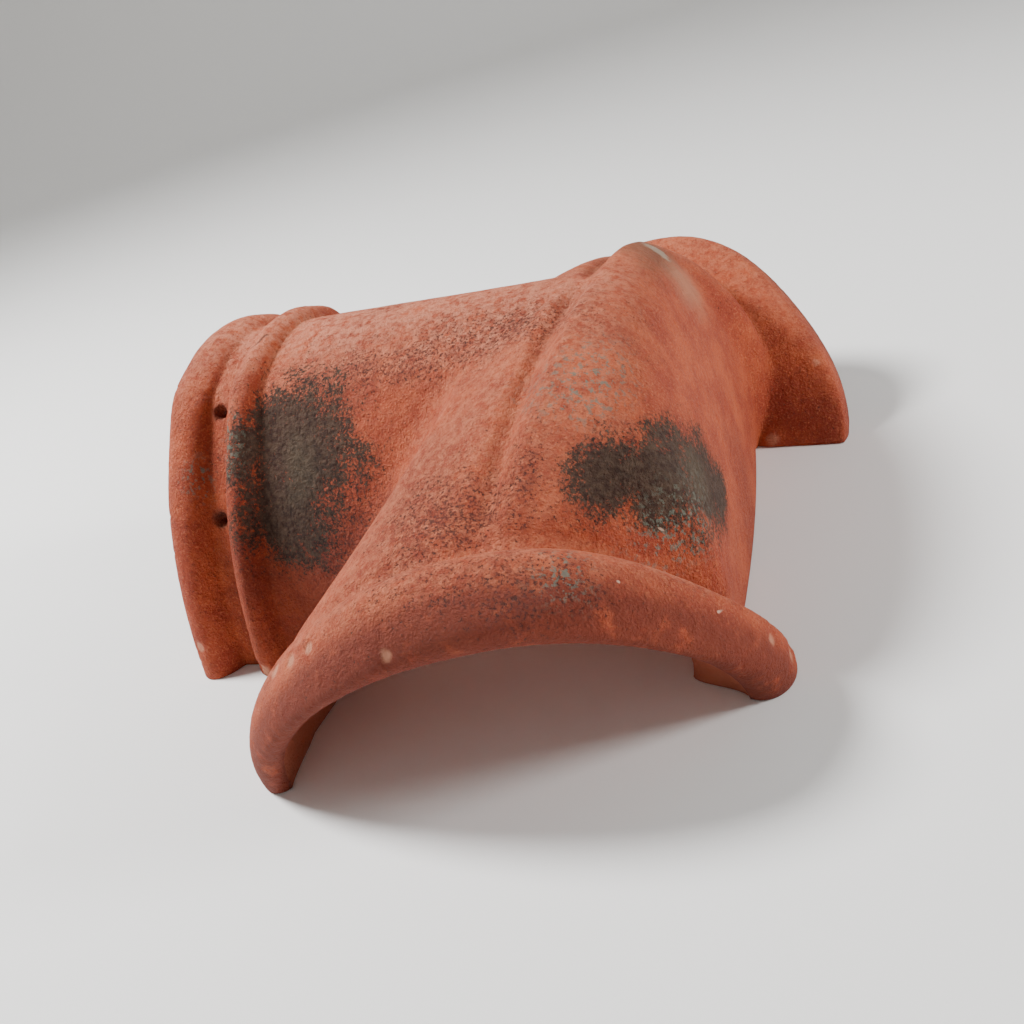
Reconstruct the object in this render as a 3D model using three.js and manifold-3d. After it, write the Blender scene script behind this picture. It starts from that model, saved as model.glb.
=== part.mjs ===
// Three-way hip and ridge tile in fired clay.
// One ridge arm runs towards -X and ends in a collar with two rolls and four countersunk nail holes.
// Two hip arms run towards -Y and +Y and end in wide, thick-lipped bell mouths that lean outwards.
// The tile is one hollow shell, open below, that rests on the plane z = 0. Millimetres, +Z up.
import * as THREE from 'three';
import { mergeVertices } from 'three/addons/utils/BufferGeometryUtils.js';
import Module from 'manifold-3d';

// Shell
const WALL = 13;

// Ridge arm: an arch of superellipse section with a soft shoulder two thirds of the way up
const RIDGE_HALF_WIDTH = 105.5;
const RIDGE_HEIGHT = 168;
const RIDGE_POWER = 2.05;
const SHOULDER_SHARE = 2 / 3;
const SHOULDER_LIFT = 4;
const SHOULDER_SPREAD = 0.09;

// Collar: an end roll and a second roll one pitch behind it, with a nailing groove between.
// Its planes lean back by a few degrees, so the crown ends short of the feet.
const COLLAR_END_X = -316;
const ROLL_PITCH = 38;
const END_ROLL_X = COLLAR_END_X + 9;
const SECOND_ROLL_X = END_ROLL_X + ROLL_PITCH;
const ROLL_RISE_CROWN = 7;
const ROLL_RISE_FOOT = 14;
const END_ROLL_HALF_LENGTH = 14.5;
const SECOND_ROLL_HALF_LENGTH = 10;
const GROOVE_START_X = END_ROLL_X + END_ROLL_HALF_LENGTH;
const GROOVE_END_X = SECOND_ROLL_X - SECOND_ROLL_HALF_LENGTH;
const COLLAR_FOOT_X = SECOND_ROLL_X + SECOND_ROLL_HALF_LENGTH;
const COLLAR_LEAN = Math.tan(THREE.MathUtils.degToRad(4.8));

// Nail holes in the groove, two on each flank
const NAIL_RADIUS = 2.5;
const NAIL_HEAD_RADIUS = 4.6;
const NAIL_HEAD_DEPTH = 3.5;
const NAIL_HEIGHTS = [91, 144];

// Crossbar of the two hip arms: its crown line stands over x = APEX_X, its long panel faces +X
const APEX_X = -60;
const ARRIS_OFFSET = 52;
const INNER_FOOT_OFFSET = 162;
const PANEL_FOOT_X = -2;
const PANEL_POWER = 2.4;

// The long panel warped in the kiln: it stands a few degrees out of square with the ridge arm
const PANEL_WARP = 0.115;

// Crease along each hip crown
const CREASE_DEPTH = 3.5;

// Soft valley between the flank of the ridge arm and the flank of a hip arm
const VALLEY_ON_RIDGE = 32;
const VALLEY_ON_HIP = 55;
const VALLEY_AT_CROWN = 20;

// Bell mouth: a leaning arch about a centre on the ground
const MOUTH_X = -92;
const MOUTH_Y = 155;
const MOUTH_PLAN_ANGLE = THREE.MathUtils.degToRad(72.2);
const MOUTH_LEAN = THREE.MathUtils.degToRad(25.8);
const MOUTH_CROWN_TURN = THREE.MathUtils.degToRad(8);
const BELL_RADIUS = 136;
const BELL_FLATTENING = 8;
const BELL_INNER_FOOT_EXTRA = 2;
const LIP_RADIUS = 111;
const LIP_INNER_FOOT_EXTRA = 9;
const LIP_TURN = THREE.MathUtils.degToRad(120);
const LIP_REACH_CROWN = 29;
const LIP_REACH_PANEL_FOOT = 23;
const LIP_REACH_INNER_FOOT = 19;
const NECK_RADIUS_PANEL_FOOT = 93;
const NECK_RADIUS_CROWN = 115;
const NECK_RADIUS_INNER_FOOT = 129;
const NECK_LENGTH = 22;
const NECK_LENGTH_PANEL_FOOT = 8;

// Facets: columns run from foot (share 0) to crown (share 1), rows run from collar to mouth
const COLUMNS = 20;
const COLLAR_ROWS = 14;
const RIDGE_ROWS = 3;
const VALLEY_ROWS = 6;
const HIP_ROWS = 5;
const NECK_ROWS = 4;
const LIP_ROWS = 5;

const vec = (x, y, z) => new THREE.Vector3(x, y, z);
const mix = (a, b, t) => a + (b - a) * t;
const smooth = (a, b, t) => THREE.MathUtils.smoothstep(t, a, b);
const quarterSine = (share) => Math.sin((share * Math.PI) / 2);

const MOUTH_CENTRE = vec(MOUTH_X, -MOUTH_Y, 0);
const MOUTH_ACROSS = vec(Math.sin(MOUTH_PLAN_ANGLE), Math.cos(MOUTH_PLAN_ANGLE), 0);
const MOUTH_UP = vec(
  Math.cos(MOUTH_PLAN_ANGLE) * Math.sin(MOUTH_LEAN),
  -Math.sin(MOUTH_PLAN_ANGLE) * Math.sin(MOUTH_LEAN),
  Math.cos(MOUTH_LEAN),
);
const MOUTH_OUT = vec(
  Math.cos(MOUTH_PLAN_ANGLE) * Math.cos(MOUTH_LEAN),
  -Math.sin(MOUTH_PLAN_ANGLE) * Math.cos(MOUTH_LEAN),
  -Math.sin(MOUTH_LEAN),
);

// Section of the ridge arm on its -Y side
function ridgeSection(share, inset) {
  const angle = (share * Math.PI) / 2;
  const bump = Math.exp(-(((share - SHOULDER_SHARE) / SHOULDER_SPREAD) ** 2));
  const side = share === 1 ? 0 : Math.cos(angle) ** (2 / RIDGE_POWER);
  return {
    y: -(RIDGE_HALF_WIDTH - inset) * side,
    z: (RIDGE_HEIGHT - inset) * Math.sin(angle) ** (2 / RIDGE_POWER) + SHOULDER_LIFT * bump,
  };
}

// Where the generator of the ridge arm meets the generator of the hip arm
function mitrePoint(share, inset) {
  const { y, z } = ridgeSection(share, inset);
  const shoulder = ridgeSection(SHOULDER_SHARE, inset).z;
  const footOffset = INNER_FOOT_OFFSET - inset;
  const below = mix(footOffset, ARRIS_OFFSET, Math.min(z / shoulder, 1));
  const above = (ARRIS_OFFSET * (1 - share)) / (1 - SHOULDER_SHARE);
  return vec(APEX_X - (share < SHOULDER_SHARE ? below : above), y, z);
}

// Middle curve of the long panel, on the plane y = 0
function panelMiddle(share, inset) {
  const angle = (share * Math.PI) / 2;
  const foot = PANEL_FOOT_X - inset;
  const x = foot - (foot - APEX_X) * (1 - Math.cos(angle) ** (2 / PANEL_POWER));
  return vec(x, 0, (RIDGE_HEIGHT - inset) * Math.sin(angle) ** (2 / PANEL_POWER));
}

// Point of the mouth cone at a distance along its axis and a radius; share 0 lies on the ground
function mouthPoint(inner, share, along, radius) {
  const centre = MOUTH_CENTRE.clone().addScaledVector(MOUTH_OUT, along);
  const ground = Math.asin(-centre.z / (radius * MOUTH_UP.z));
  const crown = Math.PI / 2 + (inner ? MOUTH_CROWN_TURN : -MOUTH_CROWN_TURN);
  const angle = mix(ground, crown, share);
  const across = Math.cos(angle) * radius * (inner ? -1 : 1);
  const point = centre.addScaledVector(MOUTH_ACROSS, across);
  point.addScaledVector(MOUTH_UP, Math.sin(angle) * radius);
  if (share === 0) {
    point.z = 0;
  }
  return point;
}

const mouthShare = (inner, share) => (inner ? 0.15 * share + 0.85 * share ** 1.25 : share);

function bellRadius(inner, share) {
  const foot = inner ? BELL_INNER_FOOT_EXTRA * (1 - share) ** 2 : 0;
  return BELL_RADIUS + foot - BELL_FLATTENING * Math.sin(share * Math.PI) ** 2;
}

function lipRadius(inner, share) {
  return LIP_RADIUS + (inner ? LIP_INNER_FOOT_EXTRA * (1 - share) ** 2 : 0);
}

function lipReach(inner, share) {
  const foot = inner ? LIP_REACH_INNER_FOOT : LIP_REACH_PANEL_FOOT;
  return mix(foot, LIP_REACH_CROWN, quarterSine(share));
}

function neckRadius(inner, share) {
  const foot = inner ? NECK_RADIUS_INNER_FOOT : NECK_RADIUS_PANEL_FOOT;
  return mix(foot, NECK_RADIUS_CROWN, quarterSine(share));
}

function neckLength(inner, share) {
  return inner ? NECK_LENGTH : mix(NECK_LENGTH_PANEL_FOOT, NECK_LENGTH, quarterSine(share));
}

// Outside of the flare, from the hip (step 0) to the widest line of the bell (step 1)
function flarePoint(inner, share, step) {
  const s = quarterSine(step) ** 1.15;
  const radius = mix(neckRadius(inner, share), bellRadius(inner, share), s);
  return mouthPoint(inner, share, -neckLength(inner, share) * (1 - step), radius);
}

// Rounded lip, from the widest line (step 0) over the front and round to the inner edge (step 1)
function lipPoint(inner, share, step) {
  const edge = Math.cos(LIP_TURN);
  const s = (Math.cos(step * LIP_TURN) - edge) / (1 - edge);
  const radius = mix(lipRadius(inner, share), bellRadius(inner, share), s);
  return mouthPoint(inner, share, lipReach(inner, share) * Math.sin(step * LIP_TURN), radius);
}

// Inside of the bell, from the hip (step 0) to the inner edge of the lip (step 1)
function throatPoint(inner, share, step) {
  const back = -neckLength(inner, share);
  const front = lipReach(inner, share) * Math.sin(LIP_TURN);
  const radius = mix(neckRadius(inner, share) - WALL, lipRadius(inner, share), smooth(0, 1, step));
  return mouthPoint(inner, share, mix(back, front, step), radius);
}

function rollRise(x, share) {
  const bump = (centre, halfLength) => {
    const t = Math.min(Math.abs(x - centre) / halfLength, 1);
    return (1 - t * t) ** 0.8;
  };
  const rise = mix(ROLL_RISE_FOOT, ROLL_RISE_CROWN, share);
  const rolls = bump(END_ROLL_X, END_ROLL_HALF_LENGTH) + bump(SECOND_ROLL_X, SECOND_ROLL_HALF_LENGTH);
  return rise * rolls;
}

// Outward direction of the ridge section, in the plane of the section
function sectionNormal(share) {
  if (share === 0) {
    return vec(0, -1, 0);
  }
  if (share === 1) {
    return vec(0, 0, 1);
  }
  const a = ridgeSection(share - 0.01, 0);
  const b = ridgeSection(share + 0.01, 0);
  return vec(0, -(b.z - a.z), b.y - a.y).normalize();
}

// One path of the shell from the collar over the valley or crown and out to a mouth.
// The inner face is the same path one wall thickness in, without rolls and crease.
function armPath(share, inset) {
  const outside = inset === 0;
  const mitre = mitrePoint(share, inset);
  const mouth = mouthShare(true, share);
  const end = outside ? flarePoint(true, mouth, 0) : throatPoint(true, mouth, 0);
  const fade = smooth(0.3, 0.9, share);
  const onRidge = mix(VALLEY_ON_RIDGE, VALLEY_AT_CROWN, fade);
  const onHip = mix(VALLEY_ON_HIP, VALLEY_AT_CROWN, fade) / mitre.distanceTo(end);
  const soft = 1 - smooth(0.6, 1, share);
  const fall = 1.05 + 0.9 * share ** 6;
  const section = ridgeSection(share, inset);
  const ridgePoint = (x) => {
    const t = THREE.MathUtils.clamp((x - COLLAR_FOOT_X) / (mitre.x - COLLAR_FOOT_X), 0, 1);
    return vec(x + COLLAR_LEAN * section.z * (1 - t), section.y, section.z);
  };
  const hipPoint = (t) => {
    const point = mitre.clone().lerp(end, t);
    point.z = mix(mitre.z, end.z, t ** fall);
    return point;
  };
  const path = [];
  const collarRows = outside ? COLLAR_ROWS : 2;
  for (let i = 0; i <= collarRows; i += 1) {
    const x = mix(COLLAR_END_X, COLLAR_FOOT_X, i / collarRows);
    const point = ridgePoint(x);
    if (outside) {
      point.addScaledVector(sectionNormal(share), rollRise(x, share));
    }
    path.push(point);
  }
  const ridgeEnd = mitre.x - onRidge;
  for (let i = 1; i <= RIDGE_ROWS; i += 1) {
    path.push(ridgePoint(mix(COLLAR_FOOT_X, ridgeEnd, i / RIDGE_ROWS)));
  }
  const before = ridgePoint(ridgeEnd);
  const after = hipPoint(onHip);
  for (let i = 1; i <= VALLEY_ROWS; i += 1) {
    const s = i / VALLEY_ROWS;
    const sharp = s <= 0.5 ? before.clone().lerp(mitre, 2 * s) : mitre.clone().lerp(after, 2 * s - 1);
    const round = before.clone().multiplyScalar((1 - s) ** 2);
    round.addScaledVector(mitre, 2 * s * (1 - s));
    round.addScaledVector(after, s * s);
    path.push(sharp.lerp(round, soft));
  }
  const apexRow = collarRows + RIDGE_ROWS + VALLEY_ROWS / 2;
  for (let i = 1; i <= HIP_ROWS; i += 1) {
    path.push(hipPoint(mix(onHip, 1, i / HIP_ROWS)));
  }
  if (outside && share === 1) {
    const span = path.length - 1 - apexRow;
    for (let i = apexRow; i < path.length; i += 1) {
      path[i].z -= CREASE_DEPTH * Math.sin((Math.PI * (i - apexRow)) / span);
    }
  }
  const hipRow = path.length - 1;
  for (let i = 1; i <= NECK_ROWS; i += 1) {
    path.push((outside ? flarePoint : throatPoint)(true, mouth, i / NECK_ROWS));
  }
  for (let i = 1; outside && i <= LIP_ROWS; i += 1) {
    path.push(lipPoint(true, mouth, i / LIP_ROWS));
  }
  return { path, apexRow, hipRow };
}

// One path of the long panel from its middle out to a mouth, row for row beside the hip crown
function panelPath(share, inset, crown) {
  const outside = inset === 0;
  const middle = panelMiddle(share, inset);
  const end = outside ? flarePoint(false, share, 0) : throatPoint(false, share, 0);
  const run = crown.path.slice(crown.apexRow, crown.hipRow + 1);
  const last = run[run.length - 1];
  const path = run.map((beside) => {
    const t = beside.y / last.y;
    const bend = t ** (2 + 0.6 * share ** 2);
    return vec(
      mix(middle.x, end.x, mix(bend, t, share ** 4)),
      end.y * t,
      mix(middle.z, end.z, bend),
    );
  });
  for (let i = 1; i <= NECK_ROWS; i += 1) {
    path.push((outside ? flarePoint : throatPoint)(false, share, i / NECK_ROWS));
  }
  for (let i = 1; outside && i <= LIP_ROWS; i += 1) {
    path.push(lipPoint(false, share, i / LIP_ROWS));
  }
  return share === 1 ? crown.path.slice(crown.apexRow) : path;
}

// The warp moves the long panel's -Y end out and its +Y end in, and leaves the mouths alone
function warp(point) {
  const panel = smooth(-75, -10, point.x) * (1 - smooth(5, 35, point.x));
  const middle = 1 - smooth(108, 138, Math.abs(point.y));
  return vec(point.x - PANEL_WARP * point.y * panel * middle, point.y, point.z);
}

const triangles = [];
const addTriangle = (a, b, c) => triangles.push(a.clone(), b.clone(), c.clone());

// Skin between neighbouring paths, with its faces turned over on the inner side of the shell
function addSkin(paths, turned) {
  for (let j = 1; j < paths.length; j += 1) {
    for (let i = 1; i < paths[j].length; i += 1) {
      const [a, b, c, d] = [paths[j - 1][i - 1], paths[j - 1][i], paths[j][i], paths[j][i - 1]];
      if (turned) {
        addTriangle(a, c, b);
        addTriangle(a, d, c);
      } else {
        addTriangle(a, b, c);
        addTriangle(a, c, d);
      }
    }
  }
}

// Flat strip between two edges whose points need not be equal in number
function addStrip(outer, inner) {
  let i = 0;
  let j = 0;
  while (i < outer.length - 1 || j < inner.length - 1) {
    const outerNext = i < outer.length - 1 ? outer[i + 1].distanceTo(inner[j]) : Infinity;
    const innerNext = j < inner.length - 1 ? inner[j + 1].distanceTo(outer[i]) : Infinity;
    if (outerNext <= innerNext) {
      addTriangle(outer[i], inner[j], outer[i + 1]);
      i += 1;
    } else {
      addTriangle(outer[i], inner[j], inner[j + 1]);
      j += 1;
    }
  }
}

const shares = Array.from({ length: COLUMNS + 1 }, (_, i) => i / COLUMNS);
const outerCrown = armPath(1, 0);
const innerCrown = armPath(1, WALL);
const outerArm = shares.map((share) => armPath(share, 0).path);
const innerArm = shares.map((share) => armPath(share, WALL).path);
const outerPanel = shares.map((share) => panelPath(share, 0, outerCrown));
const innerPanel = shares.map((share) => panelPath(share, WALL, innerCrown));
addSkin(outerArm, false);
addSkin(innerArm, true);
addSkin(outerPanel, true);
addSkin(innerPanel, false);

// Bedding edges on the ground and the end face of the collar
addStrip(outerArm[0], innerArm[0]);
addStrip(innerPanel[0], outerPanel[0]);
addStrip(innerArm.map((path) => path[0]), outerArm.map((path) => path[0]));

// The +Y half mirrors the -Y half, and then the warp is put in
const half = triangles.slice();
for (let i = 0; i < half.length; i += 3) {
  const [a, b, c] = [half[i], half[i + 2], half[i + 1]].map((p) => vec(p.x, -p.y, p.z));
  addTriangle(a, b, c);
}
const shellGeometry = new THREE.BufferGeometry().setFromPoints(triangles.map(warp));

// Countersunk nail hole, bored square to the groove
function nailCutter(height, side) {
  let low = 0;
  let high = 1;
  for (let i = 0; i < 40; i += 1) {
    const share = (low + high) / 2;
    if (ridgeSection(share, 0).z < height) {
      low = share;
    } else {
      high = share;
    }
  }
  const section = ridgeSection(low, 0);
  const normal = sectionNormal(low);
  const profile = [
    new THREE.Vector2(0, -2 * WALL),
    new THREE.Vector2(NAIL_RADIUS, -2 * WALL),
    new THREE.Vector2(NAIL_RADIUS, -NAIL_HEAD_DEPTH),
    new THREE.Vector2(NAIL_HEAD_RADIUS, 0),
    new THREE.Vector2(NAIL_HEAD_RADIUS, WALL),
    new THREE.Vector2(0, WALL),
  ];
  const cutter = new THREE.LatheGeometry(profile, 16);
  const x = (GROOVE_START_X + GROOVE_END_X) / 2 + COLLAR_LEAN * section.z;
  const axis = vec(0, side * -normal.y, normal.z);
  cutter.applyQuaternion(new THREE.Quaternion().setFromUnitVectors(vec(0, 1, 0), axis));
  cutter.translate(x, side * -section.y, section.z);
  return cutter;
}

const wasm = await Module();
wasm.setup();

// Closed solid from a geometry whose corners are merged by position
function solidOf(geometry) {
  const bare = geometry.clone();
  bare.deleteAttribute('normal');
  bare.deleteAttribute('uv');
  const merged = mergeVertices(bare, 1e-4);
  return new wasm.Manifold(new wasm.Mesh({
    numProp: 3,
    vertProperties: new Float32Array(merged.attributes.position.array),
    triVerts: new Uint32Array(merged.index.array),
  }));
}

let shell = solidOf(shellGeometry);
for (const side of [-1, 1]) {
  for (const height of NAIL_HEIGHTS) {
    shell = shell.subtract(solidOf(nailCutter(height, side)));
  }
}
const cut = shell.getMesh();
const geometry = new THREE.BufferGeometry();
geometry.setAttribute('position', new THREE.BufferAttribute(new Float32Array(cut.vertProperties), 3));
geometry.setIndex(new THREE.BufferAttribute(new Uint32Array(cut.triVerts), 1));

// The frame's origin is the middle of the underside of the tile's box
geometry.computeBoundingBox();
const box = geometry.boundingBox;
geometry.translate(-(box.min.x + box.max.x) / 2, -(box.min.y + box.max.y) / 2, -box.min.z);
geometry.computeVertexNormals();

const firedClay = new THREE.MeshStandardMaterial({ color: '#b4583a', roughness: 0.85, metalness: 0 });
const tile = new THREE.Mesh(geometry, firedClay);
tile.name = 'ridge_tile';

const part = new THREE.Group();
part.add(tile);
export default part;
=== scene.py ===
import bpy
import numpy as np
from mathutils import Matrix, Vector


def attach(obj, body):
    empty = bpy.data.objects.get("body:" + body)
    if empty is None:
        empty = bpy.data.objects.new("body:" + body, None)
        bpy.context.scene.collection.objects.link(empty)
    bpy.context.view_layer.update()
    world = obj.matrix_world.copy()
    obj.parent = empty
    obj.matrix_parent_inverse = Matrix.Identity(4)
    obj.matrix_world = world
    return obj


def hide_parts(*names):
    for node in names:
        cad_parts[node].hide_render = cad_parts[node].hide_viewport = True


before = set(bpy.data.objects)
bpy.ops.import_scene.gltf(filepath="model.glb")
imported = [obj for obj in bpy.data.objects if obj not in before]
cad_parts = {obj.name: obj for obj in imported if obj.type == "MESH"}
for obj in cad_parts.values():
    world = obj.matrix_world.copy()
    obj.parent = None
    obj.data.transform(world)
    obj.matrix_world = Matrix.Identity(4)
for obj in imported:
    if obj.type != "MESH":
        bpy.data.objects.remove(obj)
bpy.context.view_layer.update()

# ---------------------------------------------------------------------------------------------
# The tile. One hollow piece of roofing clay, pressed over a form, trimmed by hand at the mouths,
# finished with a wet hand and fired. It lies on its bedding edges and carries two rolls round the
# collar, four countersunk nail holes between them, and a thick rolled lip round each bell mouth.
# ---------------------------------------------------------------------------------------------

# Sizes in millimetres. The mirror plane is y = 0 and the bedding plane is z = 0.
FRAME_SHIFT = 138.13
WALL = 13.0
RIDGE_HALF_WIDTH = 105.5
RIDGE_HEIGHT = 168.0
RIDGE_POWER = 2.05
SHOULDER_SHARE = 2 / 3
SHOULDER_LIFT = 4.0
SHOULDER_SPREAD = 0.09
COLLAR_END_X = -316.0
ROLL_PITCH = 38.0
END_ROLL_X = COLLAR_END_X + 9.0
SECOND_ROLL_X = END_ROLL_X + ROLL_PITCH
ROLL_RISE_CROWN = 7.0
ROLL_RISE_FOOT = 14.0
END_ROLL_HALF_LENGTH = 14.5
SECOND_ROLL_HALF_LENGTH = 10.0
GROOVE_START_X = END_ROLL_X + END_ROLL_HALF_LENGTH
GROOVE_END_X = SECOND_ROLL_X - SECOND_ROLL_HALF_LENGTH
COLLAR_FOOT_X = SECOND_ROLL_X + SECOND_ROLL_HALF_LENGTH
COLLAR_LEAN = np.tan(np.radians(4.8))
APEX_X = -60.0
ARRIS_OFFSET = 52.0
INNER_FOOT_OFFSET = 162.0
PANEL_FOOT_X = -2.0
PANEL_POWER = 2.4
PANEL_WARP = 0.115
VALLEY_ON_RIDGE = 32.0
VALLEY_ON_HIP = 55.0
VALLEY_AT_CROWN = 20.0
MOUTH_CENTRE = np.array([-92.0, -155.0, 0.0])
PLAN = np.radians(72.2)
LEAN = np.radians(25.8)
CROWN_TURN = np.radians(8.0)
ACROSS = np.array([np.sin(PLAN), np.cos(PLAN), 0.0])
UPWARD = np.array([np.cos(PLAN) * np.sin(LEAN), -np.sin(PLAN) * np.sin(LEAN), np.cos(LEAN)])
OUTWARD = np.array([np.cos(PLAN) * np.cos(LEAN), -np.sin(PLAN) * np.cos(LEAN), -np.sin(LEAN)])
BELL_RADIUS = 136.0
BELL_FLATTENING = 8.0
BELL_INNER_FOOT_EXTRA = 2.0
LIP_RADIUS = 111.0
LIP_INNER_FOOT_EXTRA = 9.0
LIP_TURN = np.radians(120.0)
LIP_REACH_CROWN = 29.0
LIP_REACH_PANEL_FOOT = 23.0
LIP_REACH_INNER_FOOT = 19.0
NECK_RADIUS_CROWN = 115.0
NECK_RADIUS_PANEL_FOOT = 93.0
NECK_RADIUS_INNER_FOOT = 129.0
NECK_LENGTH = 22.0
NECK_LENGTH_PANEL_FOOT = 8.0


def mix(a, b, t):
    return a + (b - a) * t


def smooth(a, b, t):
    s = np.clip((t - a) / (b - a), 0.0, 1.0)
    return s * s * (3.0 - 2.0 * s)


# Shapes are given by share, 0 at the foot and 1 at the crown. The inset is 0 for the outer skin
# and one wall for the inner.
def ridge_section(share, inset):
    angle = share * np.pi / 2
    side = np.where(share >= 1.0, 0.0, np.abs(np.cos(angle)) ** (2 / RIDGE_POWER))
    bump = np.exp(-(((share - SHOULDER_SHARE) / SHOULDER_SPREAD) ** 2))
    height = (RIDGE_HEIGHT - inset) * np.sin(angle) ** (2 / RIDGE_POWER)
    return -(RIDGE_HALF_WIDTH - inset) * side, height + SHOULDER_LIFT * bump


def section_normal(share):
    low, high = np.clip(share - 0.01, 0, 1), np.clip(share + 0.01, 0, 1)
    (ya, za), (yb, zb) = ridge_section(low, 0.0), ridge_section(high, 0.0)
    run = np.stack([0 * share, -(zb - za), yb - ya], -1)
    run[share <= 0.0] = (0, -1, 0)
    run[share >= 1.0] = (0, 0, 1)
    return run / np.linalg.norm(run, axis=1)[:, None]


# Where the flank of the ridge arm meets the flank of a hip arm
def mitre_points(share, inset):
    y, z = ridge_section(share, inset)
    shoulder = ridge_section(np.array([SHOULDER_SHARE]), inset)[1][0]
    below = mix(INNER_FOOT_OFFSET - inset, ARRIS_OFFSET, np.minimum(z / shoulder, 1.0))
    above = ARRIS_OFFSET * (1 - share) / (1 - SHOULDER_SHARE)
    return np.stack([APEX_X - np.where(share < SHOULDER_SHARE, below, above), y, z], -1)


def panel_middle(share, inset):
    angle = share * np.pi / 2
    foot = PANEL_FOOT_X - inset
    x = foot - (foot - APEX_X) * (1 - np.abs(np.cos(angle)) ** (2 / PANEL_POWER))
    return np.stack([x, 0 * x, (RIDGE_HEIGHT - inset) * np.sin(angle) ** (2 / PANEL_POWER)], -1)


# A mouth is a leaning arch: share 0 is on the ground, share 1 on the hip's crown line
def mouth_points(inner, share, along, radius):
    centre = MOUTH_CENTRE + along[:, None] * OUTWARD
    ground = np.arcsin(np.clip(-centre[:, 2] / (radius * UPWARD[2]), -1, 1))
    angle = mix(ground, np.pi / 2 + (CROWN_TURN if inner else -CROWN_TURN), share)
    reach = np.cos(angle) * radius * (-1 if inner else 1)
    points = centre + reach[:, None] * ACROSS + (np.sin(angle) * radius)[:, None] * UPWARD
    points[share <= 0.0, 2] = 0.0
    return points


def mouth_sizes(inner, share):
    turn = np.sin(share * np.pi / 2)
    foot = (1 - share) ** 2 if inner else 0 * share
    bell = BELL_RADIUS + BELL_INNER_FOOT_EXTRA * foot
    bell -= BELL_FLATTENING * np.sin(share * np.pi) ** 2
    lip = LIP_RADIUS + LIP_INNER_FOOT_EXTRA * foot
    lip_reach = mix(LIP_REACH_INNER_FOOT if inner else LIP_REACH_PANEL_FOOT, LIP_REACH_CROWN, turn)
    neck = mix(NECK_RADIUS_INNER_FOOT if inner else NECK_RADIUS_PANEL_FOOT, NECK_RADIUS_CROWN, turn)
    length = mix(NECK_LENGTH if inner else NECK_LENGTH_PANEL_FOOT, NECK_LENGTH, turn)
    return bell, lip, lip_reach, neck, length


# The neck flares out to the bell, the lip rolls over and back in, and the throat lines the mouth
def flare(inner, share, step):
    bell, lip, lip_reach, neck, length = mouth_sizes(inner, share)
    radius = mix(neck, bell, np.sin(step * np.pi / 2) ** 1.15)
    return mouth_points(inner, share, -length * (1 - step), radius)


def rolled_lip(inner, share, step):
    bell, lip, lip_reach, neck, length = mouth_sizes(inner, share)
    edge = np.cos(LIP_TURN)
    s = (np.cos(step * LIP_TURN) - edge) / (1 - edge)
    return mouth_points(inner, share, lip_reach * np.sin(step * LIP_TURN), mix(lip, bell, s))


def throat(inner, share, step):
    bell, lip, lip_reach, neck, length = mouth_sizes(inner, share)
    along = mix(-length, lip_reach * np.sin(LIP_TURN), step)
    return mouth_points(inner, share, along, mix(neck - WALL, lip, smooth(0, 1, step)))


# The crease that runs down each hip crown: a thumb-wide trough on its inner side, a crisp edge
# on its panel side
CREASE_DEPTH = 2.4
CREASE_EDGE_RISE = 1.3


def crease(grid, crown, share_along, panel_side):
    fade = smooth(0.0, 0.22, share_along) * (1 - smooth(0.8, 1.0, share_along))
    away = np.linalg.norm(grid - crown[:, None, :], axis=2)
    if panel_side:
        at_fold = CREASE_DEPTH + CREASE_EDGE_RISE * np.exp(-((9.0 / 6.0) ** 2))
        depth = at_fold * np.exp(-((away / 4.0) ** 2))
        depth -= CREASE_EDGE_RISE * np.exp(-(((away - 9.0) / 6.0) ** 2))
    else:
        depth = CREASE_DEPTH * np.exp((7.0 / 8.0) ** 2 - ((away - 7.0) / 8.0) ** 2)
    grid[:, :, 2] -= depth * fade[:, None]


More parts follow.
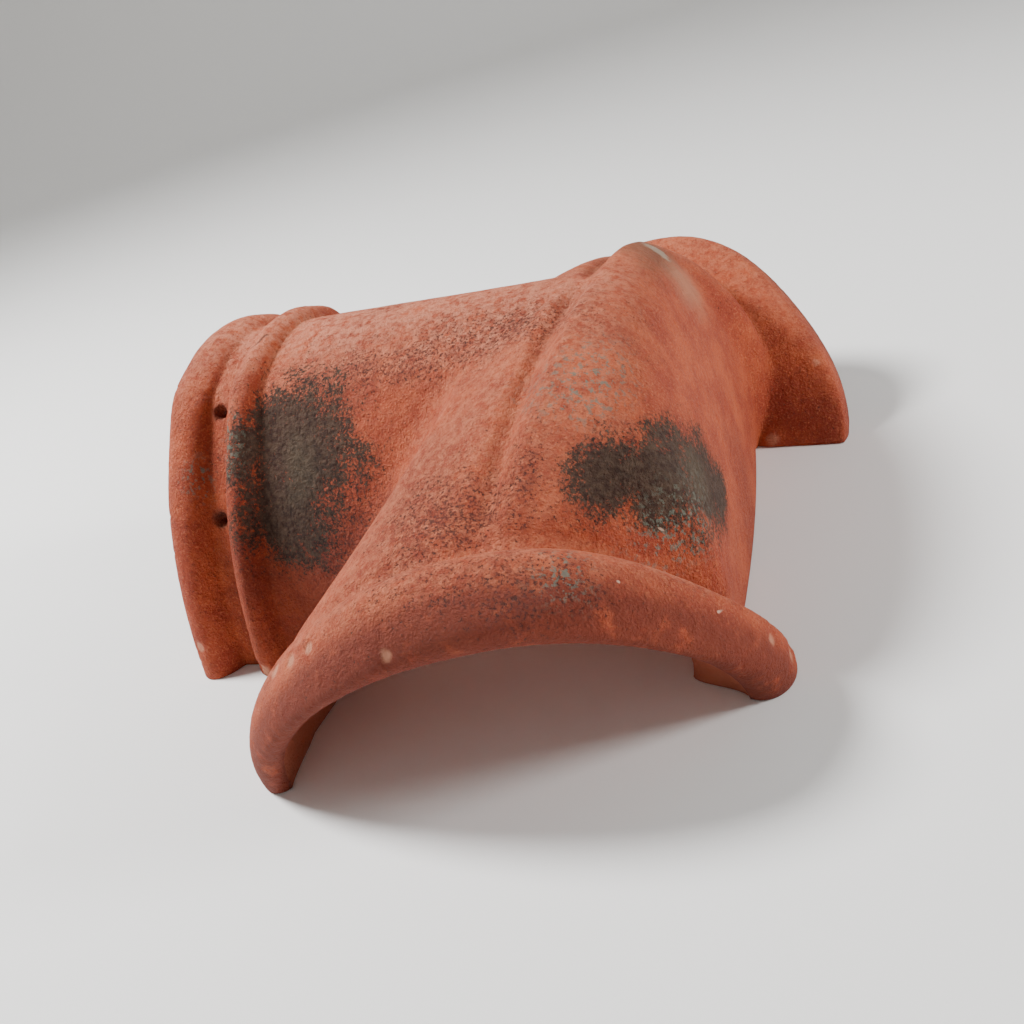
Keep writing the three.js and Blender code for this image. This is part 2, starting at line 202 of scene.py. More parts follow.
# Path grids: rows run from the collar to the mouth, columns from the foot to the crown
def arm_grid(share, inset, rows):
    collar_rows, ridge_rows, valley_rows, hip_rows, neck_rows, lip_rows = rows
    outside = inset == 0
    y, z = ridge_section(share, inset)
    mitre = mitre_points(share, inset)
    mouth = 0.15 * share + 0.85 * share ** 1.25
    end = (flare if outside else throat)(True, mouth, 0.0)
    fade = smooth(0.3, 0.9, share)
    on_ridge = mix(VALLEY_ON_RIDGE, VALLEY_AT_CROWN, fade)
    on_hip = mix(VALLEY_ON_HIP, VALLEY_AT_CROWN, fade) / np.linalg.norm(end - mitre, axis=1)
    soft = (1 - smooth(0.6, 1.0, share))[:, None]
    fall = 1.05 + 0.9 * share ** 6

    def on_arm(x):
        t = np.clip((x - COLLAR_FOOT_X) / (mitre[:, 0] - COLLAR_FOOT_X), 0, 1)
        return np.stack([x + COLLAR_LEAN * z * (1 - t), y, z], -1)

    def on_hip_arm(t):
        points = mix(mitre, end, t[:, None])
        points[:, 2] = mix(mitre[:, 2], end[:, 2], t ** fall)
        return points

    grid = []
    for x in np.linspace(COLLAR_END_X, COLLAR_FOOT_X, collar_rows + 1):
        points = on_arm(np.full_like(share, x))
        if outside:
            rise = mix(ROLL_RISE_FOOT, ROLL_RISE_CROWN, share)
            for roll, half_length in ((END_ROLL_X, END_ROLL_HALF_LENGTH),
                                      (SECOND_ROLL_X, SECOND_ROLL_HALF_LENGTH)):
                near = min(abs(x - roll) / half_length, 1.0)
                bump = (1 - near * near) ** 0.8
                points += (rise * bump)[:, None] * section_normal(share)
        grid.append(points)
    arm_end = mitre[:, 0] - on_ridge
    for i in range(1, ridge_rows + 1):
        grid.append(on_arm(mix(COLLAR_FOOT_X, arm_end, i / ridge_rows)))
    before, after = on_arm(arm_end), on_hip_arm(on_hip)
    for i in range(1, valley_rows + 1):
        s = i / valley_rows
        sharp = mix(before, mitre, 2 * s) if s <= 0.5 else mix(mitre, after, 2 * s - 1)
        rounded = (1 - s) ** 2 * before + 2 * s * (1 - s) * mitre + s * s * after
        grid.append(mix(sharp, rounded, soft))
    apex_row = collar_rows + ridge_rows + valley_rows // 2
    for i in range(1, hip_rows + 1):
        grid.append(on_hip_arm(mix(on_hip, 1.0, i / hip_rows)))
    hip_row = len(grid) - 1
    for i in range(1, neck_rows + 1):
        grid.append((flare if outside else throat)(True, mouth, i / neck_rows))
    for i in range(1, lip_rows + 1):
        grid.append(rolled_lip(True, mouth, i / lip_rows))
    return np.array(grid), apex_row, hip_row


def panel_grid(share, inset, rows, crown, hip_rows):
    outside = inset == 0
    neck_rows, lip_rows = rows[4:]
    middle = panel_middle(share, inset)
    end = (flare if outside else throat)(False, share, 0.0)
    grid = []
    for beside in crown[:hip_rows + 1]:
        t = beside[1] / crown[hip_rows][1]
        bend = t ** (2 + 0.6 * share ** 2)
        x = mix(middle[:, 0], end[:, 0], mix(bend, t, share ** 4))
        grid.append(np.stack([x, end[:, 1] * t, mix(middle[:, 2], end[:, 2], bend)], -1))
    for i in range(1, neck_rows + 1):
        grid.append((flare if outside else throat)(False, share, i / neck_rows))
    for i in range(1, lip_rows + 1):
        grid.append(rolled_lip(False, share, i / lip_rows))
    grid = np.array(grid)
    grid[:, -1] = crown
    return grid


# The skins are laid as pairs of triangles between neighbouring grid points, and a strip closes
# the wall between two edges of unlike count
triangles = []
from_inside = []


def add_skin(grid, turned, inside):
    a, b, c, d = grid[:-1, :-1], grid[1:, :-1], grid[1:, 1:], grid[:-1, 1:]
    for p, q, r in ((a, b, c), (a, c, d)):
        faces = np.stack([p, r, q] if turned else [p, q, r], 2).reshape(-1, 3, 3)
        triangles.append(faces)
        from_inside.append(np.full(len(faces), float(inside)))


def add_strip(outer, inner):
    i = j = 0
    faces = []
    while i < len(outer) - 1 or j < len(inner) - 1:
        step_out = np.linalg.norm(outer[i + 1] - inner[j]) if i < len(outer) - 1 else np.inf
        step_in = np.linalg.norm(inner[j + 1] - outer[i]) if j < len(inner) - 1 else np.inf
        if step_out <= step_in:
            faces.append((outer[i], inner[j], outer[i + 1]))
            i += 1
        else:
            faces.append((outer[i], inner[j], inner[j + 1]))
            j += 1
    triangles.append(np.array(faces))
    from_inside.append(np.zeros(len(faces)))


# Rows of collar, ridge, valley, hip, neck and lip; the inner face needs fewer and has no lip
share = np.linspace(0.0, 1.0, 117)
outer_rows = (42, 22, 28, 26, 14, 16)
inner_rows = (6, 10, 18, 16, 12, 0)
outer_arm, outer_apex, outer_hip = arm_grid(share, 0, outer_rows)
inner_arm, inner_apex, inner_hip = arm_grid(share, WALL, inner_rows)
outer_crown = outer_arm[outer_apex:, -1].copy()
inner_crown = inner_arm[inner_apex:, -1].copy()
outer_panel = panel_grid(share, 0, outer_rows, outer_crown, outer_hip - outer_apex)
inner_panel = panel_grid(share, WALL, inner_rows, inner_crown, inner_hip - inner_apex)
along = np.clip(np.arange(len(outer_crown)) / (outer_hip - outer_apex + 5), 0, 1)

# A wet hand rounds the fold over each hip crown
HAND_PASSES = 70
across = np.concatenate([outer_arm[outer_apex:], outer_panel[:, -2::-1]], axis=1)
from_crown = np.abs(np.arange(across.shape[1]) - (len(share) - 1))
softness = smooth(24, 6, from_crown)[None, 1:-1, None] * smooth(0.0, 0.2, along)[:, None, None]
for _ in range(HAND_PASSES):
    between = (across[:, :-2] + across[:, 2:]) / 2 - across[:, 1:-1]
    across[:, 1:-1] += 0.5 * softness * between
outer_arm[outer_apex:] = across[:, :len(share)]
outer_panel = across[:, len(share) - 1:][:, ::-1].copy()

# A thumb groove behind each rolled lip, where the neck begins
THUMB_GROOVE_DEPTH = 2.8
THUMB_GROOVE_HALF_WIDTH = 6.0
for skin, neck_row in ((outer_arm, outer_hip), (outer_panel, outer_hip - outer_apex)):
    from_axis = skin - MOUTH_CENTRE
    from_axis -= (from_axis @ OUTWARD)[:, :, None] * OUTWARD
    from_axis /= np.linalg.norm(from_axis, axis=2)[:, :, None]
    from_neck = np.linalg.norm(skin - skin[neck_row], axis=2)
    groove = THUMB_GROOVE_DEPTH * np.exp(-((from_neck / THUMB_GROOVE_HALF_WIDTH) ** 2))
    skin -= from_axis * groove[:, :, None]
    skin[:, 0, 2] = 0.0
outer_crown = outer_arm[outer_apex:, -1].copy()
crease(outer_arm[outer_apex:], outer_crown, along, False)
crease(outer_panel, outer_crown, along, True)
outer_panel[:, -1] = outer_arm[outer_apex:, -1]
outer_panel[0, :-1, 1] = 0.0
inner_arm[-1] = outer_arm[-1]
inner_panel[-1] = outer_panel[-1]
add_skin(outer_arm, False, False)
add_skin(inner_arm, True, True)
add_skin(outer_panel, True, False)
add_skin(inner_panel, False, True)
add_strip(outer_arm[:, 0], inner_arm[:, 0])
add_strip(inner_panel[:, 0], outer_panel[:, 0])
add_strip(inner_arm[0], outer_arm[0])

# The far half mirrors the near one, and corners that meet become one point
near_half = np.concatenate(triangles)
inside_flags = np.concatenate(from_inside)
far_half = near_half[:, ::-1] * np.array([1, -1, 1])
corners = np.concatenate([near_half, far_half]).reshape(-1, 3)
corner_flags = np.repeat(np.concatenate([inside_flags, inside_flags]), 3)
keys = np.round(corners * 1000).astype(np.int64)
_, first, index = np.unique(keys, axis=0, return_index=True, return_inverse=True)
index = index.reshape(-1, 3)
whole = (index[:, 0] != index[:, 1]) & (index[:, 1] != index[:, 2]) & (index[:, 2] != index[:, 0])
points = corners[first]
inside = corner_flags[first]

# The long panel warped in the kiln: its near end stands out and its far end in, the mouths true
panel_share = smooth(-75, -10, points[:, 0]) * (1 - smooth(5, 35, points[:, 0]))
panel_share *= 1 - smooth(108, 138, np.abs(points[:, 1]))
points[:, 0] += FRAME_SHIFT - PANEL_WARP * points[:, 1] * panel_share

# Knocks and chips: centre, radius and depth of each, in millimetres. Each pushes the skin in
# towards the hollow of the tile, and the last two are old ones that have darkened again.
knocks = (
    ((-36, -216, 78), 7.0, 2.2), ((-20, -222, 88), 6.0, 1.6), ((-6, -224, 96), 5.0, 1.3),
    ((176, -124, 12), 7.0, 2.0), ((162, 137, 46), 6.0, 1.6), ((173, -140, 32), 6.0, 1.4),
    ((-8, -236, 60), 8.0, 1.8), ((40, -234, 98), 6.0, 1.0), ((96, -236, 95), 7.0, 1.2),
    ((-170, -116, 22), 6.0, 1.6), ((-176, -104, 60), 5.0, 1.4), ((-131, -118, 3), 9.0, 2.6),
    ((130, 118, 4), 9.0, 2.0), ((-160, 40, 165), 6.0, 1.5), ((60, 236, 92), 8.0, 1.6),
    ((120, -21, 106), 3.5, 1.2), ((-118, -26, 171), 5.0, 1.6),
)
OLD_KNOCKS = 2
HOLLOW = np.array([0.0, 0.0, 30.0])
for centre, radius, depth in knocks:
    away = np.linalg.norm(points - np.array(centre, float), axis=1)
    push = depth * np.clip(1 - (away / radius) ** 2, 0, 1)
    inward = HOLLOW - points
    points += inward / np.linalg.norm(inward, axis=1)[:, None] * push[:, None]

tile_mesh = bpy.data.meshes.new("ridge_tile_clay")
tile_mesh.from_pydata((points * 0.001).tolist(), [], index[whole].tolist())
tile_mesh.update()
inside_layer = tile_mesh.attributes.new("inner_face", "FLOAT", "POINT")
inside_layer.data.foreach_set("value", inside.astype(np.float32))
tile = bpy.data.objects.new("fired_clay_tile", tile_mesh)
bpy.context.scene.collection.objects.link(tile)

# Nail holes: 5 mm bores with a countersink for the head, two on each flank of the groove. The
# punch that cuts them is a stack of rings, each with its radius and its level along the bore.
NAIL_HEIGHTS = (91.0, 144.0)
PUNCH_RINGS = ((2.6, -26.0), (2.5, -3.6), (4.3, -0.8), (5.4, 0.6), (5.6, 13.0))
SIDES = 24
cutter_points, cutter_faces = [], []
hole_places = []
for height in NAIL_HEIGHTS:
    shares = np.linspace(0, 1, 2001)
    near = shares[np.argmin(np.abs(ridge_section(shares, 0.0)[1] - height))]
    y, z = ridge_section(np.array([near]), 0.0)
    slope = section_normal(np.array([near]))[0]
    for side in (-1, 1):
        seat = Vector(((GROOVE_START_X + GROOVE_END_X) / 2 + COLLAR_LEAN * z[0] + FRAME_SHIFT,
                       side * -y[0], z[0]))
        axis = Vector((0, side * -slope[1], slope[2]))
        turn = Vector((0, 0, 1)).rotation_difference(axis)
        hole_places.append(tuple(seat))
        start = len(cutter_points)
        for radius, level in PUNCH_RINGS:
            for k in range(SIDES):
                a = 2 * np.pi * k / SIDES
                local = Vector((radius * np.cos(a), radius * np.sin(a), level))
                cutter_points.append((seat + turn @ local) * 0.001)
        last = start + (len(PUNCH_RINGS) - 1) * SIDES
        for ring in range(len(PUNCH_RINGS) - 1):
            for k in range(SIDES):
                low, high = start + ring * SIDES, start + (ring + 1) * SIDES
                n = (k + 1) % SIDES
                cutter_faces.append((low + k, low + n, high + n, high + k))
        cutter_faces.append(tuple(start + k for k in reversed(range(SIDES))))
        cutter_faces.append(tuple(last + k for k in range(SIDES)))
cutter_mesh = bpy.data.meshes.new("nail_punch")
cutter_mesh.from_pydata(cutter_points, [], cutter_faces)
cutter = bpy.data.objects.new("nail_punch", cutter_mesh)
bpy.context.scene.collection.objects.link(cutter)
punch = tile.modifiers.new("nail_holes", "BOOLEAN")
punch.operation = "DIFFERENCE"
punch.solver = "MANIFOLD"
punch.object = cutter


# One node of a material or a modifier, with its links or fixed values and its settings
def node(tree, kind, inputs=None, out=0, **settings):
    made = tree.nodes.new(kind)
    for name, value in settings.items():
        setattr(made, name, value)
    for name, value in (inputs or {}).items():
        if isinstance(value, bpy.types.NodeSocket):
            tree.links.new(value, made.inputs[name])
        else:
            made.inputs[name].default_value = value
    return made.outputs[out] if made.outputs else None


def linear(hex_code):
    parts = [int(hex_code[i:i + 2], 16) / 255 for i in (1, 3, 5)]
    return tuple(v / 12.92 if v <= 0.04045 else ((v + 0.055) / 1.055) ** 2.4 for v in parts) + (1.0,)


# Weathered terracotta: red-firing roofing clay, unglazed and open-pored, so it is matt and takes
# up soot, lichen and lime. Places and radii are in millimetres.
clay = bpy.data.materials.new("weathered_terracotta")
clay.use_nodes = True
shade = clay.node_tree
shade.nodes.clear()
place = node(shade, "ShaderNodeTexCoord", out="Object")
inner_face = node(shade, "ShaderNodeAttribute", out="Fac", attribute_name="inner_face")
facing = node(shade, "ShaderNodeNewGeometry", out="Normal")
upward = node(shade, "ShaderNodeSeparateXYZ", {0: facing}, out="Z")


# Mottling: what shows of a grain of one size between two levels
def mottle(size, low, high, amount=1.0, detail=4.0, rough=0.6):
    noise = node(shade, "ShaderNodeTexNoise", {
        "Vector": place, "Scale": 1000.0 / size, "Detail": detail, "Roughness": rough}, out="Fac")
    return node(shade, "ShaderNodeMapRange", {
        "Value": noise, "From Min": low, "From Max": high, "To Max": amount}, out="Result",
        interpolation_type="SMOOTHSTEP")


# Stains: the ragged union of soft spots, each with a centre and three radii
def stains(spots, edge, ragged=0.0):
    widest = 0.0
    for centre, radii in spots:
        moved = node(shade, "ShaderNodeVectorMath", {
            0: place, 1: [v / 1000 for v in centre]}, operation="SUBTRACT")
        scaled = node(shade, "ShaderNodeVectorMath", {
            0: moved, 1: [v / 1000 for v in radii]}, operation="DIVIDE")
        far = node(shade, "ShaderNodeVectorMath", {0: scaled}, out="Value", operation="LENGTH")
        frayed = node(shade, "ShaderNodeMath", {0: far, 1: ragged}, operation="ADD")
        spot = node(shade, "ShaderNodeMapRange", {
            "Value": frayed, "From Min": 1.0 + edge, "From Max": 1.0 - edge}, out="Result",
            interpolation_type="SMOOTHSTEP")
        widest = node(shade, "ShaderNodeMath", {0: spot, 1: widest}, operation="MAXIMUM")
    return widest


# Scratches: thin strokes, each with its two ends and its width
def scratches(strokes):
    deepest = 0.0
    for start, end, width in strokes:
        from_start = node(shade, "ShaderNodeVectorMath", {
            0: place, 1: [v / 1000 for v in start]}, operation="SUBTRACT")
        run = [(b - a) / 1000 for a, b in zip(start, end)]
        square = sum(v * v for v in run)
        reach = node(shade, "ShaderNodeVectorMath", {
            0: from_start, 1: [v / square for v in run]}, out="Value", operation="DOT_PRODUCT")
        held = node(shade, "ShaderNodeMath", {0: reach, 1: 0.0}, operation="ADD", use_clamp=True)
        on_line = node(shade, "ShaderNodeVectorMath", {0: run, "Scale": held}, operation="SCALE")
        gap = node(shade, "ShaderNodeVectorMath", {0: from_start, 1: on_line}, out="Value",
                   operation="DISTANCE")
        stroke = node(shade, "ShaderNodeMapRange", {
            "Value": gap, "From Min": width / 1000, "From Max": width / 2500}, out="Result",
            interpolation_type="SMOOTHSTEP")
        deepest = node(shade, "ShaderNodeMath", {0: stroke, 1: deepest}, operation="MAXIMUM")
    return deepest


# One coat over another: a colour, a mask and how strongly it covers
def coat(under, over, mask, cover=1.0):
    covered = node(shade, "ShaderNodeMath", {0: mask, 1: cover}, operation="MULTIPLY")
    return node(shade, "ShaderNodeMix", {0: covered, 6: under, 7: over}, out=2, data_type="RGBA")


# Two grains that the stains share: the torn outline of a stain and the grit of the clay
torn = node(shade, "ShaderNodeTexNoise", {
    "Vector": place, "Scale": 55.0, "Detail": 9.0, "Roughness": 0.74, "Distortion": 0.3}, out="Fac")
torn = node(shade, "ShaderNodeMath", {0: torn, 1: 2.2, 2: -1.1}, operation="MULTIPLY_ADD")
grit = node(shade, "ShaderNodeTexNoise", {
    "Vector": place, "Scale": 620.0, "Detail": 4.0, "Roughness": 0.72}, out="Fac")

# Body colour, redder and browner in clouds; upward faces and the ridge crown painted paler and
# pinker, partly painted sky light and partly dust where rain and sun fall on them
colour = coat(linear("#93351b"), linear("#b04e2a"), mottle(22.0, 0.32, 0.68))
colour = coat(colour, linear("#7c2c1a"), mottle(80.0, 0.48, 0.7, detail=3.0), 0.6)
# Painted sky light together with dust: the more a face turns up, the paler it is painted
painted_sky_light_and_dust = node(shade, "ShaderNodeMapRange", {
    "Value": upward, "From Min": 0.35, "From Max": 1.0}, out="Result",
    interpolation_type="SMOOTHSTEP")
colour = coat(colour, linear("#cf7f5b"), painted_sky_light_and_dust, mottle(5.0, 0.3, 0.7, 0.6, rough=0.7))
# The flat ridge crown painted paler: painted sky light together with dust
colour = coat(colour, linear("#cc8467"), stains(
    [((-60, 0, 168), (110, 34, 30)), ((30, -20, 166), (60, 34, 20))], 0.6, torn),
    mottle(5.0, 0.35, 0.6, 0.6))
colour = coat(colour, linear("#c86f47"), mottle(1.3, 0.5, 0.68), 0.5)
colour = coat(colour, linear("#6f2716"), mottle(1.9, 0.47, 0.33, rough=0.7), 0.55)

# Darker and redder low on the flank beside the collar: partly darker clay, partly painted shade
colour = coat(colour, linear("#57200f"), stains(
    [((-70, -100, 46), (62, 40, 56)), ((-70, 100, 46), (62, 40, 56))], 0.6, torn), 0.55)

# The front of each rolled lip is painted darker: weathered clay, handled and rained on most,
# together with painted shade on its downward face
mouth_level = (MOUTH_CENTRE + [FRAME_SHIFT, 0, 0]) @ OUTWARD / 1000
for side in (1, -1):
    out_of_mouth = node(shade, "ShaderNodeVectorMath", {
        0: place, 1: [OUTWARD[0], side * OUTWARD[1], OUTWARD[2]]}, out="Value",
        operation="DOT_PRODUCT")
    lip_front_shade_and_weathering = node(shade, "ShaderNodeMapRange", {
        "Value": out_of_mouth, "From Min": mouth_level + 0.002, "From Max": mouth_level + 0.016},
        out="Result", interpolation_type="SMOOTHSTEP")
    # Painted shade and weathering on the lip front
    colour = coat(colour, linear("#6d2815"), lip_front_shade_and_weathering, mottle(12.0, 0.2, 0.5, 0.85))

# Dark iron specks and open pores, crowded in a few places
crowd = stains([((34, -38, 160), (74, 24, 18)), ((48, -166, 124), (40, 36, 18)),
                ((100, -206, 108), (80, 22, 18)), ((-24, -48, 154), (70, 20, 12)),
                ((80, -150, 130), (10, 46, 30)), ((-60, -90, 90), (30, 30, 40))], 0.7, torn)
pore_level = node(shade, "ShaderNodeMath", {0: crowd, 1: 0.12, 2: grit}, operation="MULTIPLY_ADD")
cloud = mottle(26.0, 0.45, 0.75, 0.05)
pore_level = node(shade, "ShaderNodeMath", {0: pore_level, 1: cloud}, operation="ADD")
pores = node(shade, "ShaderNodeMapRange", {
    "Value": pore_level, "From Min": 0.65, "From Max": 0.71}, out="Result",
    interpolation_type="SMOOTHSTEP")
colour = coat(colour, linear("#431a11"), pores, 0.85)
colour = coat(colour, linear("#7a2f1d"), crowd, mottle(4.5, 0.42, 0.6, 0.5))

# Soot and grey-brown lichen: one patch beside the second roll, one on the long panel, each
# breaking up into specks at its edge
soot = stains([((-84, -66, 121), (38, 60, 31)), ((-94, -86, 94), (27, 60, 30)),
               ((114, -126, 116), (20, 24, 16)), ((128, -108, 103), (22, 30, 22)),
               ((138, -84, 85), (20, 30, 23)), ((142, -62, 66), (14, 22, 14))], 0.75, torn)
soot = node(shade, "ShaderNodeMath", {0: grit, 1: 2.4, 2: soot}, operation="MULTIPLY_ADD")
soot = node(shade, "ShaderNodeMapRange", {
    "Value": soot, "From Min": 1.45, "From Max": 1.85}, out="Result",
    interpolation_type="SMOOTHSTEP")
soot_colour = coat(linear("#261d16"), linear("#4b3e31"), mottle(3.5, 0.35, 0.65, rough=0.75))
colour = coat(colour, soot_colour, soot, 0.94)
worn = stains([((-84, -78, 112), (9, 16, 18)), ((136, -88, 92), (14, 16, 12))], 0.7, torn)
colour = coat(colour, linear("#5f5846"), worn, 0.3)

# Grey-green lichen specks
lichen = stains([((98, -92, 149), (26, 26, 16)), ((110, -198, 110), (12, 14, 12)),
                 ((-148, -84, 116), (8, 10, 12)), ((134, -120, 84), (30, 30, 16)),
                 ((-124, -76, 132), (9, 16, 16))], 0.8, torn)
colour = coat(colour, linear("#6a6f61"), lichen, mottle(3.0, 0.52, 0.6, 0.85, rough=0.65))

# Brown weathering, mortar haze and a lime patch on the far crown
colour = coat(colour, linear("#6e452b"), stains([((90, 84, 154), (24, 46, 16))], 0.6, torn), 0.7)
colour = coat(colour, linear("#b88f70"), stains([((107, 78, 131), (12, 26, 16))], 0.9, torn), 0.4)
colour = coat(colour, linear("#aba08b"), stains([((92, 92, 150), (9, 11, 8))], 0.3, torn), 0.6)

# Knocked edges and scuffs; painted shade in the nail holes, in a small hole and along a fine crack
fresh_knocks = [(centre, (radius * 0.5,) * 3) for centre, radius, _ in knocks[:-OLD_KNOCKS]]
fresh = stains(fresh_knocks, 0.4, torn)
colour = coat(colour, linear("#cc8f70"), fresh, 0.6)
colour = coat(colour, linear("#dcb9a0"), scratches([
    ((134, -100, 100), (137, -100, 90), 0.9), ((127, -134, 96), (134, -122, 78), 0.8),
    ((158, -160, 62), (160, -152, 58), 1.0), ((118, -186, 99), (128, -186, 97), 0.9)]), 0.8)
# Painted shade: a fine crack drawn as a dark line
colour = coat(colour, linear("#2a120c"), scratches([((-120, -30, 170), (-114, -20, 172), 1.4)]), 0.7)
# Painted shade in a small hole
colour = coat(colour, linear("#2a120c"), stains([((126, -21, 99), (1.6, 1.6, 1.6))], 0.5))
# Painted shade round each nail hole and its countersink
colour = coat(colour, linear("#2a120c"), stains(
    [(seat, (5.0, 5.0, 5.0)) for seat in hole_places], 0.5, torn), 0.7)

# The inner face stays cleaner and paler, with a thin lime film
colour = coat(colour, linear("#b8664a"), inner_face, 0.85)

# Sandy grain, open pores and the crust of the soot patches stand out in low light
relief = node(shade, "ShaderNodeMath", {0: mottle(1.3, 0.2, 0.8, 0.8), 1: mottle(4.5, 0.2, 0.8)},
              operation="ADD")
relief = node(shade, "ShaderNodeMath", {0: pores, 1: -0.9, 2: relief}, operation="MULTIPLY_ADD")
crust = node(shade, "ShaderNodeMath", {0: soot, 1: mottle(2.2, 0.25, 0.75)}, operation="MULTIPLY")
relief = node(shade, "ShaderNodeMath", {0: relief, 1: crust}, operation="ADD")
bump = node(shade, "ShaderNodeBump", {"Strength": 0.8, "Distance": 0.0014, "Height": relief})
dull = node(shade, "ShaderNodeMath", {0: soot, 1: 0.12, 2: 0.76}, operation="MULTIPLY_ADD")
surface = node(shade, "ShaderNodeBsdfPrincipled", {
    "Base Color": colour, "Roughness": dull, "Normal": bump, "IOR": 1.5,
    "Specular IOR Level": 0.35, "Sheen Weight": 0.0})
node(shade, "ShaderNodeOutputMaterial", {"Surface": surface})

# Hand-finished relief: broad waviness from the press and the wet hand, fine grain and open pits.
# The bedding edges stay flat where they were struck off.
relief_tree = bpy.data.node_groups.new("hand_finished_relief", "GeometryNodeTree")
face = relief_tree.interface
face.new_socket("Geometry", in_out="INPUT", socket_type="NodeSocketGeometry")
relief_inputs = {
    "Waviness height": 0.0007, "Waviness size": 0.09, "Lump height": 0.00022, "Lump size": 0.019,
    "Grain height": 0.0002, "Grain size": 0.0045, "Pit depth": 0.0004, "Pit spacing": 0.008,
}
sockets = {}
for label, value in relief_inputs.items():
    socket = face.new_socket(label, in_out="INPUT", socket_type="NodeSocketFloat")
    sockets[label] = socket.identifier
face.new_socket("Geometry", in_out="OUTPUT", socket_type="NodeSocketGeometry")
enter = relief_tree.nodes.new("NodeGroupInput").outputs
spot = node(relief_tree, "GeometryNodeInputPosition")
lift = 0.0
for size, height, detail in (("Waviness size", "Waviness height", 1.0),
                             ("Lump size", "Lump height", 2.0), ("Grain size", "Grain height", 2.0)):
    scale = node(relief_tree, "ShaderNodeMath", {0: 1.0, 1: enter[size]}, operation="DIVIDE")
    noise = node(relief_tree, "ShaderNodeTexNoise", {
        "Vector": spot, "Scale": scale, "Detail": detail})
    swing = node(relief_tree, "ShaderNodeMath", {0: noise, 1: 2.0, 2: -1.0},
                 operation="MULTIPLY_ADD")
    lift = node(relief_tree, "ShaderNodeMath", {0: swing, 1: enter[height], 2: lift},
                operation="MULTIPLY_ADD")
spacing = node(relief_tree, "ShaderNodeMath", {0: 1.0, 1: enter["Pit spacing"]}, operation="DIVIDE")
cells = node(relief_tree, "ShaderNodeTexVoronoi", {"Vector": spot, "Scale": spacing},
             out="Distance")
pit = node(relief_tree, "ShaderNodeMapRange", {
    "Value": cells, "From Min": 0.3, "From Max": 0.12}, interpolation_type="SMOOTHSTEP")
depth = node(relief_tree, "ShaderNodeMath", {0: pit, 1: enter["Pit depth"]}, operation="MULTIPLY")
lift = node(relief_tree, "ShaderNodeMath", {0: lift, 1: depth}, operation="SUBTRACT")
above = node(relief_tree, "ShaderNodeSeparateXYZ", {0: spot}, out="Z")
free = node(relief_tree, "ShaderNodeMapRange", {
    "Value": above, "From Min": 0.0005, "From Max": 0.006}, interpolation_type="SMOOTHSTEP")
lift = node(relief_tree, "ShaderNodeMath", {0: lift, 1: free}, operation="MULTIPLY")
outward = node(relief_tree, "GeometryNodeInputNormal")
offset = node(relief_tree, "ShaderNodeVectorMath", {0: outward, "Scale": lift}, operation="SCALE")
moved = node(relief_tree, "GeometryNodeSetPosition", {
    "Geometry": enter["Geometry"], "Offset": offset})
rounded = node(relief_tree, "GeometryNodeSetShadeSmooth", {0: moved})
real = node(relief_tree, "GeometryNodeRealizeInstances", {0: rounded})
coated = node(relief_tree, "GeometryNodeSetMaterial", {"Geometry": real, "Material": clay})
node(relief_tree, "NodeGroupOutput", {"Geometry": coated})
relief_step = tile.modifiers.new("hand_finish", "NODES")
relief_step.node_group = relief_tree
for label, value in relief_inputs.items():
    relief_step[sockets[label]] = value

# The finished surface becomes plain mesh, and the punch goes back on the shelf
depsgraph = bpy.context.evaluated_depsgraph_get()
finished = bpy.data.meshes.new_from_object(tile.evaluated_get(depsgraph))
tile.modifiers.clear()
tile.data = finished
tile.data.materials.clear()
tile.data.materials.append(clay)
bpy.data.objects.remove(cutter)
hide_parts("ridge_tile")
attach(tile, "root")

# ---------------------------------------------------------------------------------------------
# The paper sweep. A roll of matt studio paper, laid flat as a floor and turned up into a wall
# all round. It lies a hair under the tile's bedding edges.
# ---------------------------------------------------------------------------------------------
FLOOR_RADIUS = 2.6
TURN_RADIUS = 0.9
WALL_TOP = 4.5
UNDER_TILE = 0.0005
SWEEP_SIDES = 96
profile = [(0.6, 0.0), (1.6, 0.0), (FLOOR_RADIUS, 0.0)]
for a in np.linspace(0.15, np.pi / 2, 10):
    profile.append((FLOOR_RADIUS + TURN_RADIUS * np.sin(a), TURN_RADIUS * (1 - np.cos(a))))
profile.append((FLOOR_RADIUS + TURN_RADIUS, WALL_TOP))
sweep_points, sweep_faces = [(0.0, 0.0, -UNDER_TILE)], []
for radius, level in profile:
    for k in range(SWEEP_SIDES):
        a = 2 * np.pi * k / SWEEP_SIDES
        sweep_points.append((radius * np.cos(a), radius * np.sin(a), level - UNDER_TILE))
for k in range(SWEEP_SIDES):
    sweep_faces.append((0, 1 + k, 1 + (k + 1) % SWEEP_SIDES))
for ring in range(len(profile) - 1):
    low, high = 1 + ring * SWEEP_SIDES, 1 + (ring + 1) * SWEEP_SIDES
    for k in range(SWEEP_SIDES):
        n = (k + 1) % SWEEP_SIDES
        sweep_faces.append((low + k, high + k, high + n, low + n))
sweep_mesh = bpy.data.meshes.new("paper_sweep")
sweep_mesh.from_pydata(sweep_points, [], sweep_faces)
sweep_mesh.shade_smooth()

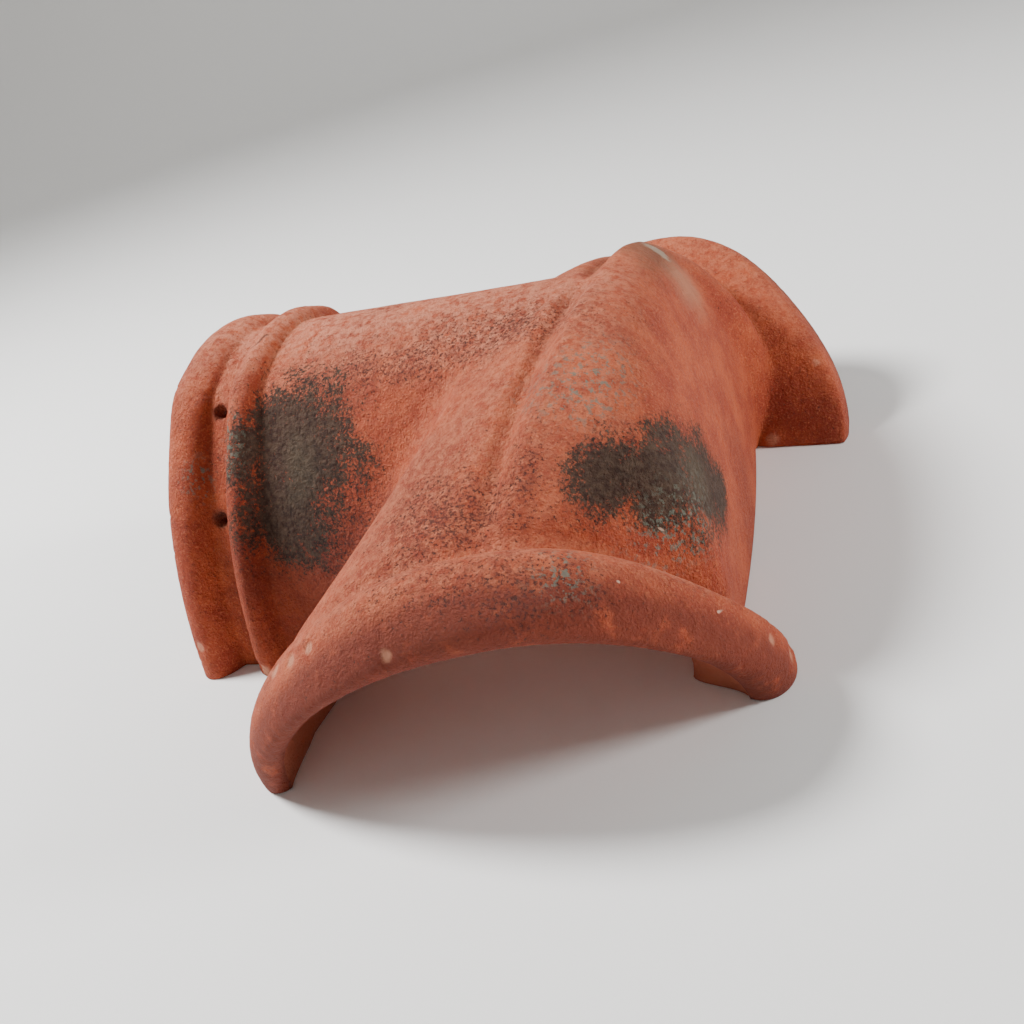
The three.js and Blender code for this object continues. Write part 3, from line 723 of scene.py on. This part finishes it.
# Uncoated white paper, matt and even
paper = bpy.data.materials.new("matt_white_paper")
paper.use_nodes = True
paper_surface = paper.node_tree.nodes["Principled BSDF"]
paper_surface.inputs["Base Color"].default_value = linear("#f4f3f1")
paper_surface.inputs["Roughness"].default_value = 0.9
sweep_mesh.materials.append(paper)
sweep = bpy.data.objects.new("paper_sweep", sweep_mesh)
bpy.context.scene.collection.objects.link(sweep)

# ---------------------------------------------------------------------------------------------
# The soft boxes: the main one high on the collar side, a second one low by the long panel, and
# the weak light of the room. Place and diameter in metres, power in watts.
# ---------------------------------------------------------------------------------------------
for name, lamp_place, diameter, power in (
    ("collar_soft_box", (-1.15, -0.1, 1.5), 0.55, 70.0),
    ("panel_soft_box", (1.7, 0.2, 0.75), 0.5, 30.0),
):
    lamp = bpy.data.lights.new(name, "AREA")
    lamp.shape = "DISK"
    lamp.size = diameter
    lamp.energy = power
    box = bpy.data.objects.new(name, lamp)
    box.location = lamp_place
    aim = Vector((0.0, 0.0, 0.08)) - Vector(lamp_place)
    box.rotation_euler = aim.to_track_quat("-Z", "Y").to_euler()
    bpy.context.scene.collection.objects.link(box)
world = bpy.data.worlds.new("studio_air")
world.use_nodes = True
room_light = world.node_tree.nodes["Background"].inputs
room_light["Color"].default_value = linear("#f7f6f4")
room_light["Strength"].default_value = 0.08
bpy.context.scene.world = world

# ---------------------------------------------------------------------------------------------
# The camera: close, in front of the near hip mouth and a little to its panel side, looking down
# on the tile and held a little off level.
# ---------------------------------------------------------------------------------------------
CAMERA_PLACE = (0.29613, -0.58344, 0.35326)
AROUND, ABOVE, TIPPED = np.radians((27.387, 26.096, -17.425))
lens = bpy.data.cameras.new("camera")
lens.sensor_width = 36.0
lens.lens = 42.343
camera = bpy.data.objects.new("camera", lens)
look = Matrix.Rotation(AROUND, 4, "Z") @ Matrix.Rotation(np.pi / 2 - ABOVE, 4, "X")
camera.matrix_world = Matrix.Translation(CAMERA_PLACE) @ look @ Matrix.Rotation(TIPPED, 4, "Z")
bpy.context.scene.collection.objects.link(camera)
bpy.context.scene.camera = camera
